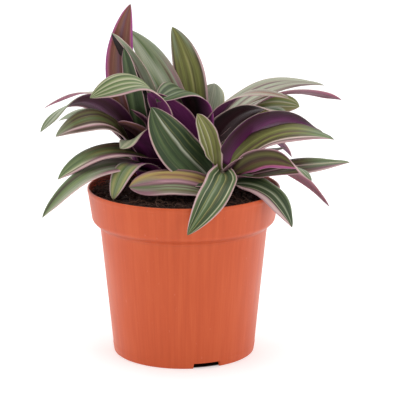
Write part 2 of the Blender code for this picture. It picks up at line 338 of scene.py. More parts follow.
foot_in = BASE_RADIUS - FOOT_WIDTH
bead = 0.00018
wall_rows = [(wall_radius(h), h, 0.0008) for h in np.linspace(0.009, band_low - 0.006, 8)]
outline = rounded_outline(
    [
        (CENTRE_FOOT_RADIUS * 0.5, 0, 0.0001),
        (CENTRE_FOOT_RADIUS, 0, 0.0006),
        (CENTRE_FOOT_RADIUS + 0.002, FLOOR_RISE, 0.0006),
        (foot_in - 0.0003, FLOOR_RISE, 0.0004),
        (foot_in, 0, 0.0003),
        (BASE_RADIUS, 0, 0.0005),
        (wall_radius(0.0028) + 0.0001, 0.0028, 0.0004),
        (wall_radius(0.0046) + bead, 0.0046, 0.0005),
        (wall_radius(0.0062), 0.0062, 0.0006),
        *wall_rows,
        (WALL_TOP_RADIUS, band_low - 0.0020, 0.0009),
        (WALL_TOP_RADIUS + 0.0022, band_low - 0.0004, 0.0009),
        (BAND_LOW_RADIUS, band_low + 0.0018, 0.0016),
        (RIM_RADIUS - 0.0004, POT_HEIGHT - 0.0032, 0.0006),
        (RIM_RADIUS, POT_HEIGHT - 0.0020, 0.0006),
        (RIM_RADIUS, POT_HEIGHT, 0.0005),
        (RIM_RADIUS - WALL, POT_HEIGHT, 0.0004),
        (BAND_LOW_RADIUS - WALL, band_low + WALL, 0.0010),
        (WALL_TOP_RADIUS - WALL, band_low + WALL * 0.6, 0.0008),
        (BASE_RADIUS - WALL, FLOOR_RISE + WALL, 0.0010),
        (CENTRE_FOOT_RADIUS + 0.001, FLOOR_RISE + WALL, 0.0006),
        (CENTRE_FOOT_RADIUS - 0.001, WALL, 0.0006),
        (CENTRE_FOOT_RADIUS * 0.5, WALL, 0.0001),
    ]
)
print("pot outline has", len(outline), "points")

# %% Pot body
NOTCH_COUNT = 3
NOTCH_WIDTH = 0.017
NOTCH_HEIGHT = 0.0033
NOTCH_TURN = -71.4
NOTCH_EDGE = 0.005
DRAIN_COUNT = 8
DRAIN_RADIUS = 0.002
DRAIN_CIRCLE = 0.031


def pot_angles(steps, edge_half):
    """Even angles round the pot, and four more close together at each side of each notch."""
    even = np.linspace(0, math.tau, steps, endpoint=False)
    middle = math.radians(NOTCH_TURN) + math.tau * np.arange(NOTCH_COUNT) / NOTCH_COUNT
    half = NOTCH_WIDTH / 2 / BASE_RADIUS
    sides = (middle[:, None] + np.array([-half, half])[None, :]).ravel()
    four = np.array([-1.0, -0.34, 0.34, 1.0])[None, :] * edge_half
    close = (sides[:, None] + four).ravel() % math.tau
    far = np.abs((even[:, None] - close[None, :] + math.pi) % math.tau - math.pi).min(axis=1)
    return np.sort(np.concatenate([even[far > edge_half], close])), middle, half


def notch_share(angle, middle, half, edge_half):
    """1 inside a notch, 0 outside it, with a short slope between."""
    away = np.abs((angle[:, None] - middle[None, :] + math.pi) % math.tau - math.pi).min(axis=1)
    return np.clip((half + edge_half - away) / (2 * edge_half), 0, 1)


def make_pot():
    """The outline turned about the axis, with x and y as radius times cosine and sine of the angle."""
    angle, middle, half = pot_angles(216, NOTCH_EDGE)
    radius = np.broadcast_to(outline[:, :1], (len(outline), len(angle)))
    height = np.broadcast_to(outline[:, 1:], radius.shape).copy()
    notch = notch_share(angle, middle, half, NOTCH_EDGE)[None, :]
    in_foot = (outline[:, :1] > foot_in - 0.0006) & (outline[:, 1:] < NOTCH_HEIGHT)
    lifted = NOTCH_HEIGHT - (NOTCH_HEIGHT - height) * 0.04
    height = np.where(in_foot, height * (1 - notch) + lifted * notch, height)
    x, y = radius * np.cos(angle), radius * np.sin(angle)
    points = np.stack([x, y, height], axis=-1).reshape(-1, 3)
    sides = grid_faces(len(outline), len(angle), True)
    last = (len(outline) - 1) * len(angle)
    under = np.arange(len(angle))[None, ::-1]
    over = last + np.arange(len(angle))[None, :]
    faces = [sides, under, over]
    return make_piece("nursery_pot", points, faces, pot_finish, ["pot"], "pot_plastic")


pot = make_pot()
print("pot faces:", len(pot.data.polygons))

# %% [markdown]
# ### Drain holes
# Eight round holes go through the floor. A Boolean with a ring of plugs cuts them, as a punch
# does in the factory, and the result is kept as the pot's own mesh.

# %% Drain holes
def drain_plugs():
    """A ring of closed round plugs: two circles each, with a cap on both."""
    sides = 24
    turn = math.radians(NOTCH_TURN) + math.tau * (np.arange(DRAIN_COUNT) + 0.5) / DRAIN_COUNT
    centre = np.stack([np.cos(turn), np.sin(turn), np.zeros(DRAIN_COUNT)], axis=-1) * DRAIN_CIRCLE
    a = math.tau * np.arange(sides) / sides
    circle = np.stack([np.cos(a), np.sin(a), np.zeros(sides)], axis=-1) * DRAIN_RADIUS
    low, high = np.array([0, 0, FLOOR_RISE - 0.002]), np.array([0, 0, FLOOR_RISE + WALL + 0.002])
    rings = np.stack([circle + low, circle + high])[None] + centre[:, None, None, :]
    starts = np.arange(DRAIN_COUNT)[:, None, None] * 2 * sides
    walls = (grid_faces(2, sides, True)[None] + starts).reshape(-1, 4)
    caps_low = (np.arange(sides)[::-1][None] + starts[:, 0]).reshape(-1, sides)
    caps_high = (np.arange(sides)[None] + sides + starts[:, 0]).reshape(-1, sides)
    mesh = bpy.data.meshes.new("drain_plugs")
    faces = walls.tolist() + caps_low.tolist() + caps_high.tolist()
    mesh.from_pydata(rings.reshape(-1, 3).tolist(), [], faces)
    plugs = bpy.data.objects.new("drain_plugs", mesh)
    bpy.context.scene.collection.objects.link(plugs)
    return plugs


def punch(piece, cutter):
    """Cuts cutter out of piece, keeps the result as its mesh and removes the cutter."""
    modifier = piece.modifiers.new("punch", "BOOLEAN")
    modifier.operation = "DIFFERENCE"
    modifier.solver = "EXACT"
    modifier.object = cutter
    graph = bpy.context.evaluated_depsgraph_get()
    done = bpy.data.meshes.new_from_object(piece.evaluated_get(graph))
    piece.modifiers.clear()
    piece.data = done
    bpy.data.objects.remove(cutter, do_unlink=True)


punch(pot, drain_plugs())
sharpen(pot, 40)
print("pot faces after punching:", len(pot.data.polygons))

# %% [markdown]
# ## The potting mix
# Peat is dark, matt and lumpy: crumbs of many sizes, curled root fibres that catch the light and
# a few white specks of perlite. The bed carries the larger humps. The crumbs, fibres and specks
# are small shapes repeated hundreds of times, so each has only a few faces.

# %% Potting mix finishes
def peat(name, dark, light, scale):
    """From dark to light by six tenths of coarse noise and four tenths of fine noise."""
    bench = Bench(name)
    place = bench.places()
    coarse = bench.noise(place, scale, 4.0, 0.65)
    fine = bench.noise(place, scale * 5, 3.0, 0.6)
    blend = bench.sum("ADD", bench.sum("MULTIPLY", coarse, 0.6), bench.sum("MULTIPLY", fine, 0.4))
    colour = bench.ramp(blend, [(0.34, dark), (0.66, light)])
    rough = bench.spread(fine, 0.3, 0.7, 0.78, 1.0)
    return bench.done(colour, rough, bench.bump(fine, 0.8, 0.0008), Specular_IOR_Level=0.25)


bed_finish = peat("peat_bed", linear(28, 18, 16), linear(66, 45, 40), 300.0)
crumb_finish = peat("peat_crumbs", linear(30, 20, 17), linear(80, 55, 47), 500.0)
fibre_finish = peat("root_fibres", linear(54, 36, 30), linear(118, 88, 72), 700.0)
speck_finish = peat("perlite_specks", linear(180, 172, 162), linear(232, 228, 220), 900.0)

# %% Soil bed
def inner_radius(height):
    """The pot's inside radius at this height."""
    if height > band_low + WALL:
        share = (height - band_low) / BAND_HEIGHT
        return BAND_LOW_RADIUS + share * (RIM_RADIUS - BAND_LOW_RADIUS) - WALL
    return BASE_RADIUS + height / band_low * (WALL_TOP_RADIUS - BASE_RADIUS) - WALL


def soil_surface(x, y):
    """A low mound with humps of three sizes. It dips a little where it meets the pot."""
    share = np.clip(np.hypot(x, y) / inner_radius(SOIL_LEVEL), 0, 1)
    mound = 0.002 * np.cos(share * math.pi / 2) - 0.001 * share**6
    humps = 0.0011 * lattice_noise(x, y, 0.011, 3)
    humps += 0.0007 * lattice_noise(x, y, 0.0042, 4) + 0.0005 * lattice_noise(x, y, 0.0017, 5)
    return SOIL_LEVEL + mound + humps


def make_soil_bed():
    """Rings from the middle of the top out to the edge, down the side and in under the bottom."""
    columns = 168
    angle = math.tau * np.arange(columns) / columns
    top = np.linspace(0.0004, inner_radius(SOIL_LEVEL) - 0.0005, 64)[:, None] * np.ones(columns)
    x, y = top * np.cos(angle), top * np.sin(angle)
    top_points = np.stack([x, y, soil_surface(x, y)], axis=-1)
    floor = FLOOR_RISE + WALL + 0.0004
    low = band_low + WALL
    side = np.array(
        [
            (inner_radius(low + 0.0001) - 0.0006, low + 0.0005),
            (inner_radius(low) - 0.0008, low),
            (inner_radius(floor) - 0.0006, floor),
            (0.0004, floor),
        ]
    )
    side_x = side[:, :1] * np.cos(angle)
    side_points = np.stack([side_x, side[:, :1] * np.sin(angle), side[:, 1:] * np.ones(columns)], axis=-1)
    points = np.concatenate([top_points, side_points]).reshape(-1, 3)
    rows = len(points) // columns
    faces = grid_faces(rows, columns, True)[:, ::-1]
    cap_top = np.arange(columns)[None, :]
    cap_low = ((rows - 1) * columns + np.arange(columns))[None, ::-1]
    return make_piece("soil_bed", points, [faces, cap_top, cap_low], bed_finish, ["soil"], "potting_mix")


soil_bed = make_soil_bed()
soil_top = soil_surface(np.array([0.0]), np.array([0.0]))[0]
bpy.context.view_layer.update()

# %% Crumbs, specks and fibres
SOIL_REACH = 0.0572


def scatter(count, seed, reach=0.0565):
    """Even random places over the soil, as x and y."""
    random = np.random.default_rng(seed)
    radius, angle = reach * np.sqrt(random.uniform(0, 1, count)), random.uniform(0, math.tau, count)
    return radius * np.cos(angle), radius * np.sin(angle), random


def lumps(count, seed, small, large, squash, sink):
    """Rough lumps: a ball of five rings by six sides whose points are pushed in and out at random,
    stretched along three random directions."""
    x, y, random = scatter(count, seed)
    rows, sides = 5, 6
    tilt = np.linspace(0, math.pi, rows + 2)[1:-1]
    turn = math.tau * np.arange(sides) / sides
    ball_x = np.outer(np.sin(tilt), np.cos(turn))
    ball_y = np.outer(np.sin(tilt), np.sin(turn))
    ball_z = np.outer(np.cos(tilt), np.ones(sides))
    ball = np.stack([ball_x, ball_y, ball_z], axis=-1).reshape(-1, 3)
    size = small + (large - small) * random.uniform(0, 1, count) ** 2.6
    shape = ball[None] * (1 + random.uniform(-0.28, 0.28, (count, len(ball), 1)))
    shape = shape * random.uniform(0.6, 1.3, (count, 1, 3)) * np.array([1, 1, squash])
    spin = random.normal(size=(count, 3, 3))
    axes, _ = np.linalg.qr(spin)
    axes = axes * np.sign(np.linalg.det(axes))[:, None, None]
    shape = np.einsum("nij,nkj->nki", axes, shape) * size[:, None, None]
    centre = np.stack([x, y, soil_surface(x, y) + size * sink], axis=-1)
    points = (shape + centre[:, None]).reshape(-1, 3)
    starts = np.arange(count)[:, None, None] * len(ball)
    walls = (grid_faces(rows, sides, True)[:, ::-1][None] + starts).reshape(-1, 4)
    return points, [walls, *end_caps(rows, sides, starts)]


def fibres(count, seed, place=None, lift=0.5):
    """Thin curled roots: each centre line is an arc of a circle that leans out of the soil, and
    the tube round it tapers to both ends."""
    x, y, random = scatter(count, seed)
    if place is not None:
        turn, reach = place(random, count)
        x, y = reach * np.cos(turn), reach * np.sin(turn)
    steps, sides = 9, 4
    length = random.uniform(0.005, 0.019, count)
    bend = random.uniform(1.0, 4.2, count)
    heading = random.uniform(0, math.tau, count)
    lean = random.uniform(-0.25, lift, count)
    s = np.linspace(0, 1, steps)
    radius = length / bend
    along = radius[:, None] * np.sin(bend[:, None] * s - bend[:, None] / 2)
    rise = radius[:, None] * (np.cos(bend[:, None] * s - bend[:, None] / 2) - np.cos(bend / 2)[:, None])
    ch, sh = np.cos(heading)[:, None], np.sin(heading)[:, None]
    cl, sl = np.cos(lean * math.pi)[:, None], np.sin(lean * math.pi)[:, None]
    px = x[:, None] + along * ch - rise * cl * sh
    py = y[:, None] + along * sh + rise * cl * ch
    far = np.maximum(np.hypot(px, py) / SOIL_REACH, 1.0)
    px, py = px / far, py / far
    pz = soil_surface(x, y)[:, None] + 0.0006 + np.abs(rise * sl) + 0.0012 * s
    line = np.stack([px, py, pz], axis=-1)
    ahead = np.gradient(line, axis=1)
    ahead /= np.linalg.norm(ahead, axis=-1, keepdims=True)
    side = np.cross(ahead, np.array([0.3, 0.2, 0.93]))
    side /= np.maximum(np.linalg.norm(side, axis=-1, keepdims=True), 1e-9)
    up = np.cross(side, ahead)
    thick = random.uniform(0.00009, 0.00022, count)[:, None] * (1 - 0.7 * np.abs(2 * s - 1) ** 2)
    a = math.tau * np.arange(sides) / sides
    ring = side[:, :, None] * np.cos(a)[:, None] + up[:, :, None] * np.sin(a)[:, None]
    points = (line[:, :, None] + ring * thick[..., None, None]).reshape(-1, 3)
    starts = np.arange(count)[:, None, None] * steps * sides
    walls = (grid_faces(steps, sides, True)[:, ::-1][None] + starts).reshape(-1, 4)
    return points, [walls, *end_caps(steps, sides, starts)]


def left_rim(random, count):
    """Places close inside the rim at the left, where the roots stick up over it."""
    return np.radians(random.uniform(160, 215, count)), random.uniform(0.050, SOIL_REACH, count)


crumb_shapes = lumps(1500, 11, 0.0005, 0.0026, 0.8, 0.15)
crumbs = make_piece("soil_crumbs", *crumb_shapes, crumb_finish, slot="potting_mix")
specks = make_piece("perlite", *lumps(34, 12, 0.0003, 0.0009, 0.9, 0.6), speck_finish, slot="potting_mix")
roots = make_piece("root_fibres", *fibres(420, 13), fibre_finish, slot="potting_mix")
rim_roots = make_piece("rim_fibres", *fibres(46, 14, left_rim, 0.6), fibre_finish, slot="potting_mix")
print("crumbs:", len(crumbs.data.polygons), "faces; roots:", len(roots.data.polygons), "faces")

# %% [markdown]
# ## The stems
# Each clump has one short stem, hidden by the sheaths of its leaves. It swells at the rings where
# leaves are joined, so its outline is a cone with a few ridges.

# %% Stems
STEM_SHARE = 0.72
STEM_SUNK = 6
STEMS = {
    "front": (24, -14, 25),
    "left": (-8, 4, 30),
    "back_left": (-24, 16, 33),
    "back_right": (9, 18, 33),
}


def stem_skin():
    """Long streaks from brown to tan, with purple patches."""
    bench = Bench("stem_skin")
    place = bench.places()
    streak = bench.noise(bench.stretch(place, (1, 1, 0.15)), 500.0, 3.0)
    patch = bench.noise(place, 90.0, 2.0)
    colour = bench.ramp(streak, [(0.3, linear(78, 70, 52)), (0.6, linear(120, 104, 84))])
    colour = bench.mix(bench.spread(patch, 0.4, 0.6), colour, linear(92, 46, 74))
    return bench.done(colour, bench.spread(patch, 0.3, 0.7, 0.4, 0.6), bench.bump(streak, 0.3, 0.0004))


stem_finish = stem_skin()


def make_stem(name, right, back, tall):
    """Rings up a cone. The radius swells by a cosine at each of five leaf joints."""
    rows, columns = 60, 28
    s = np.linspace(0, 1, rows)[:, None]
    height = -STEM_SUNK + (tall * STEM_SHARE + STEM_SUNK) * s
    radius = 4.4 - 1.5 * smooth_step(s) + 0.35 * np.cos(s * math.tau * 5) ** 6
    radius = radius * np.sqrt(np.clip((1.02 - s) / 0.1, 0.03, 1))
    angle = math.tau * np.arange(columns)[None] / columns
    x, y = right + radius * np.cos(angle), back + radius * np.sin(angle)
    points = np.stack([x, y, height * np.ones(columns)], axis=-1)
    points = points.reshape(-1, 3) * MM + np.array([0, 0, SOIL_LEVEL])
    foot, top = np.arange(columns)[None, ::-1], ((rows - 1) * columns + np.arange(columns))[None]
    faces = [grid_faces(rows, columns, True), foot, top]
    return make_piece("stalk_" + name, points, faces, stem_finish, ["stem_" + name], "stem_skin")


for stem_name, (right, back, tall) in STEMS.items():
    make_stem(stem_name, right, back, tall)
print("stems:", list(STEMS))

# %% [markdown]
# ## The shape of a leaf
# A leaf is a strap folded along its midrib. At its base it clasps the stem like a rolled sheet of
# paper, then it opens, grows to its widest a little before the middle and tapers like a lance.
# Its midrib is a curve of second degree through three points: where it leaves the stem, its
# shoulder and its tip. The blade turns about the midrib from base to tip, which shows either the
# striped upper face or the violet lower one.
#
# One grid makes the whole leaf: its rows go along the midrib, and each row runs across the upper
# face and back across the lower face.

# %% Leaf table
# Each row: name, stem, height of its base on the stem, turn seen from above (0 right, 90 back,
# 180 left, 270 front), shoulder (out, up), swing of the tip from the turn, tip (out, up), width,
# roll at the base and roll at the tip. Millimetres and degrees.
LEAVES = [
    ("front_hanging", "front", 16, 264, (34, 14), -15, (61, -9), 19, -10, -25),
    ("right_drooping", "front", 8, 330, (31, 7), 0, (48, -13), 20, 15, 10),
    ("right_thin", "front", 13, 34, (46, 12), -8, (76, -14), 9, -15, -40),
    ("right_low_long", "front", 11, 0, (44, 19), 0, (78, 22), 20, 15, 15),
    ("right_folded", "front", 14, 322, (47, 29), 0, (66, 20), 14, -70, 50),
    ("right_olive", "front", 19, -3, (36, 40), -4, (68, 38), 24, 26, 12),
    ("right_purple", "front", 24, 26, (36, 44), -12, (64, 38), 25, -50, 10),
    ("centre_small", "front", 21, 190, (9, 38), 0, (16, 53), 16, -50, -60),
    ("front_big", "front", 9, 189, (28, 31), 0, (44, 58), 31, -50, -60),
    ("low_yellow", "front", 4, 212, (36, 14), -14, (60, 11), 19, -40, -50),
    ("right_shadow", "front", 17, 45, (24, 22), -15, (46, 26), 15, 0, 0),
    ("right_peek", "front", 5, 60, (26, 9), -4, (40, 5), 12, 0, 0),
    ("left_arch", "left", 9, 214, (27, 36), 2, (38, 32), 24, 60, -70),
    ("left_stub", "left", 18, 196, (26, 43), 2, (34, 46), 20, 15, 25),
    ("left_lower", "left", 16, 202, (47, 28), -6, (72, 12), 20, -5, -25),
    ("left_bottom", "left", 7, 209, (44, 20), -4, (86, -8), 18, -10, -20),
    ("front_left_hang", "left", 3, 224, (36, 21), 2, (50, 3), 17, 10, -5),
    ("left_upper", "left", 25, 220, (25, 71), -12, (55, 64), 20, 10, -72),
    ("edge_on", "left", 28, 166, (24, 79), 20, (36, 100), 15, 35, 60),
    ("narrow", "back_left", 22, 290, (13, 38), -45, (20, 53), 8, 0, 0),
    ("tall", "back_left", 30, 200, (16, 88), 30, (13, 117), 18, 20, 35),
    ("sliver", "back_left", 30, 240, (14, 62), -8, (20, 91), 16, 0, 0),
    ("left_purple", "back_left", 19, 197, (42, 57), 3, (68, 40), 20, 50, -30),
    ("left_thin", "back_left", 19, 138, (48, 54), 16, (73, 44), 12, 0, 10),
    ("left_mid", "back_left", 8, 217, (42, 48), -10, (61, 38), 22, -10, -40),
    ("left_pale", "back_left", 11, 168, (38, 46), 1, (56, 40), 18, 0, -15),
    ("left_inner", "back_left", 27, 160, (15, 48), 10, (21, 62), 10, 0, 0),
    ("top_centre", "back_right", 31, 124, (11, 74), 4, (26, 98), 20, -40, -50),
    ("back_left_green", "back_right", 12, 168, (28, 78), -9, (47, 97), 21, -25, -50),
    ("centre_arch", "back_right", 26, 232, (17, 64), -4, (38, 59), 30, 5, -20),
    ("centre_purple", "back_right", 20, 226, (25, 50), -7, (40, 64), 24, 40, 40),
    ("right_dark", "back_right", 17, 338, (38, 52), 2, (58, 51), 19, -45, 40),
    ("right_edge", "back_right", 26, 338, (36, 62), 7, (58, 59), 17, -35, 20),
    ("right_long_pale", "back_right", 24, 27, (56, 60), -11, (84, 60), 20, 15, 15),
    ("right_twist", "back_right", 19, 4, (60, 59), -4, (90, 55), 18, 25, -42),
    ("right_yellow", "back_right", 13, 21, (46, 49), -9, (66, 48), 20, 15, 45),
    ("back_round", "back_right", 30, 50, (9, 46), 4, (18, 63), 24, 0, 0),
    ("back_1", "back_right", 10, 100, (30, 26), 0, (66, 6), 19, 0, 0),
    ("back_2", "back_right", 4, 72, (34, 20), 0, (74, 0), 19, 0, 0),
    ("back_3", "back_left", 10, 115, (30, 18), 0, (64, -6), 18, 0, 0),
    ("back_4", "back_left", 18, 80, (26, 34), 0, (60, 20), 18, 0, 0),
    ("back_5", "back_left", 7, 140, (30, 14), 0, (58, -10), 18, 0, 0),
    ("back_6", "back_right", 19, 108, (22, 42), 0, (56, 28), 18, 0, 0),
    ("back_7", "front", 8, 80, (36, 16), 0, (84, -2), 17, 0, 0),
    ("back_8", "back_right", 8, 42, (44, 30), 0, (84, 6), 18, 0, 0),
    ("back_9", "back_left", 22, 105, (18, 50), 5, (40, 42), 17, 0, 0),
    ("back_10", "back_left", 3, 100, (28, 8), -10, (54, -10), 18, 0, 0),
    ("back_11", "back_right", 17, 74, (30, 35), -4, (60, 23), 16, -20, 0),
]
print("leaves:", len(LEAVES))

# %% Leaf curves
LEAF_START = 6.0
BASE_SHARE = 0.72
WIDE_FROM, WIDE_TO = 0.26, 0.48
BLUNT = {
    "front_left_hang": 4.5,
    "right_yellow": 6.0,
    "left_upper": 3.0,
    "left_stub": 4.0,
    "low_yellow": 4.0,
    "back_round": 3.4,
}
FOLDED = {"edge_on": 20}
LATE_TWIST = {
    "left_arch": 5,
    "left_upper": 2,
    "left_purple": 3,
    "right_folded": 5,
    "right_dark": 4,
    "right_purple": 5,
}


def polar(stem, turn, out, up):
    """A point in metres that is out and up millimetres from a stem's foot."""
    right, back, _ = STEMS[stem]
    angle = math.radians(turn)
    spot = np.array([right + out * math.cos(angle), back + out * math.sin(angle), up])
    return spot * MM + np.array([0, 0, SOIL_LEVEL])


def midrib_curve(base, shoulder, tip, t):
    """The curve of second degree through three points, and its direction, at every t. The share
    of its length at the shoulder is taken from the two straight distances."""
    first = np.linalg.norm(shoulder - base)
    at = first / (first + np.linalg.norm(tip - shoulder))
    pull = (shoulder - base * (1 - at) ** 2 - tip * at**2) / (2 * at * (1 - at))
    t = t[:, None]
    line = base * (1 - t) ** 2 + pull * (2 * t * (1 - t)) + tip * t**2
    ahead = (pull - base) * (1 - t) + (tip - pull) * t
    return line, ahead / np.linalg.norm(ahead, axis=1, keepdims=True)


def leaf_width(t, width, blunt):
    """Grows by a smooth step from the clasping base to the widest part, then tapers: one minus
    a power of the distance beyond it, rounded by a root. A higher power makes a blunter tip."""
    start = BASE_SHARE * width
    grow = start + (width - start) * smooth_step(t / WIDE_FROM)
    far = np.clip((t - WIDE_TO) / (1 - WIDE_TO), 0, 1)
    taper = 0.4 + (width - 0.4) * (1 - far**blunt) ** 0.85
    return np.where(t < WIDE_FROM, grow, taper)


def leaf_fold(t, open_fold):
    """How far each half is folded up, in radians: nearly closed round the stem, then open."""
    near = 52 + (open_fold - 52) * smooth_step((t + 0.04) / 0.28)
    return np.radians(np.where(t < 0.35, near, open_fold * (1 - 0.4 * (t - 0.35) / 0.65)))


def turn_about(vectors, axis, angle):
    """Turns each vector, which is square to its axis, about that axis."""
    angle = angle[:, None]
    return vectors * np.cos(angle) + np.cross(axis, vectors) * np.sin(angle)


# %% Leaf surface
ALONG, ACROSS = 60, 23
LEAF_MIDDLE, LEAF_EDGE = 1.25, 0.35
CLASP = 0.0035
OPEN_FOLD = 13


def leaf_surface(row, seed):
    """Points of one leaf with their place on it: u across from left to right, v from base to
    tip, and 0 on the upper face or 1 on the lower."""
    name, stem, height, turn, shoulder, swing, tip, width, roll_base, roll_tip = row
    random = np.random.default_rng(seed)
    base = polar(stem, turn, LEAF_START, height)
    bend = polar(stem, turn, *shoulder)
    end = polar(stem, turn + swing, *tip)
    length = np.linalg.norm(end - base)
    t = -CLASP / length + (1 + CLASP / length) * np.linspace(0, 1, ALONG) ** 0.92
    line, ahead = midrib_curve(base, bend, end, t)
    heading = np.array([end[0] - base[0], end[1] - base[1], 0])
    side = np.cross(heading / np.linalg.norm(heading), [0, 0, 1])
    across = side - ahead * (ahead @ side)[:, None]
    across /= np.linalg.norm(across, axis=1, keepdims=True)
    late = LATE_TWIST.get(name, 1)
    roll = np.radians(roll_base + (roll_tip - roll_base) * np.clip(t, 0, 1) ** late)
    across = turn_about(across, ahead, roll)
    up = np.cross(across, ahead)
    u = np.linspace(-1, 1, ACROSS)[None, :]
    half = (leaf_width(t, width, BLUNT.get(name, 2.2)) / 2 * MM)[:, None]
    fold = leaf_fold(t, FOLDED.get(name, OPEN_FOLD))[:, None]
    channel = (np.sqrt(u**2 + 0.09) - 0.3) / (math.sqrt(1.09) - 0.3)
    phase = t[:, None] * random.uniform(9, 15) + random.uniform(0, 6, 1) + 1.3 * np.sign(u)
    wave = 0.00045 * np.sin(phase) * u**2
    open_part = smooth_step((t[:, None] - 0.2) / 0.3) * smooth_step((1.0 - t[:, None]) / 0.12)
    out = half * u * np.cos(fold)
    lift = half * np.sin(fold) * channel + wave * open_part - half * 0.16 * u**4 * open_part
    middle = line[:, None] + across[:, None] * out[..., None] + up[:, None] * lift[..., None]
    slim = np.clip(half / (half.max() * 0.35), 0.25, 1)
    ridge = LEAF_EDGE + (LEAF_MIDDLE - LEAF_EDGE) * np.exp(-((u / 0.16) ** 2)) * 0.45 + 0.28 * (1 - u**2)
    thick = up[:, None] * (ridge * slim * MM / 2)[..., None]
    points = np.concatenate([middle + thick, (middle - thick)[:, ::-1]], axis=1)
    places_u = np.concatenate([u, u[:, ::-1]], axis=1) * 0.5 + 0.5
    uv = np.stack(np.broadcast_arrays(places_u, np.clip(t, 0, 1)[:, None]), axis=-1)
    under = np.concatenate([np.zeros(ACROSS), np.ones(ACROSS)]) * np.ones((ALONG, 1))
    return points.reshape(-1, 3), uv.reshape(-1, 2), under.ravel()


def leaf_faces():
    """The grid closed round the leaf, and a strip of faces that closes each end."""
    columns = ACROSS * 2
    body = grid_faces(ALONG, columns, True)
    left = np.arange(ACROSS - 1)
    strip = np.stack([left, columns - 1 - left, columns - 2 - left, left + 1], axis=-1)
    return [body, strip, strip[:, ::-1] + (ALONG - 1) * columns]


def outward(points, faces):
    """Six times the volume that the faces enclose: above zero when they point out."""
    corners = [points[face] for face in faces]
    total = 0.0
    for part in corners:
        for i in range(1, part.shape[1] - 1):
            total += np.einsum("ij,ij->i", part[:, 0], np.cross(part[:, i], part[:, i + 1])).sum()
    return total


trial_points, _, _ = leaf_surface(LEAVES[0], 1)
LEAF_FACES = leaf_faces()
if outward(trial_points - trial_points.mean(axis=0), LEAF_FACES) < 0:
    LEAF_FACES = [face[:, ::-1] for face in LEAF_FACES]
print("one leaf has", sum(len(face) for face in LEAF_FACES), "faces")

# %% [markdown]
# ## The colours of a leaf
# The upper face is striped lengthwise: greens, a paler band here and there, cream or pink lines
# and a pink margin. The lower face is violet to maroon. Each leaf at the front and sides has its
# own bands, written as colour words with their place across the leaf, from 0 at its left margin
# to 100 at its right when seen from its base. A third band, where given, takes over towards the
# tip. The guessed back leaves share three sets. Long thin noise wavers the bands and streaks
# them, as the veins do.

# %% Colour words
SHADES = {
    "ink": (26, 20, 20),
    "pitch": (38, 28, 30),
    "deep": (48, 64, 38),
    "moss": (62, 80, 46),
    "leaf": (82, 100, 60),
    "fresh": (116, 132, 86),
    "sage": (128, 138, 108),
    "silver": (164, 168, 146),
    "mist": (140, 148, 126),
    "olive": (100, 98, 56),
    "lime": (126, 128, 68),
    "yellow": (176, 152, 86),
    "straw": (160, 156, 100),
    "cream": (186, 184, 152),
    "bark": (92, 70, 58),
    "umber": (70, 52, 46),
    "blush": (206, 180, 174),
    "pink": (186, 142, 150),
    "rose": (180, 104, 130),
    "mauve": (140, 94, 110),
    "dusk": (112, 78, 88),
    "magenta": (170, 76, 150),
    "violet": (112, 44, 98),
    "plum": (84, 38, 72),
    "maroon": (64, 32, 42),
    "stone": (164, 158, 140),
    "taupe": (134, 122, 110),
    "brick": (120, 68, 60),
    "rust": (128, 86, 68),
}


def bands(text):
    """Colour words with places, such as "pink 0 moss 8 pink 100", as stops for a ramp."""
    words = text.split()
    pairs = zip(words[0::2], words[1::2])
    return [(float(place) / 100, linear(*SHADES[word])) for word, place in pairs]


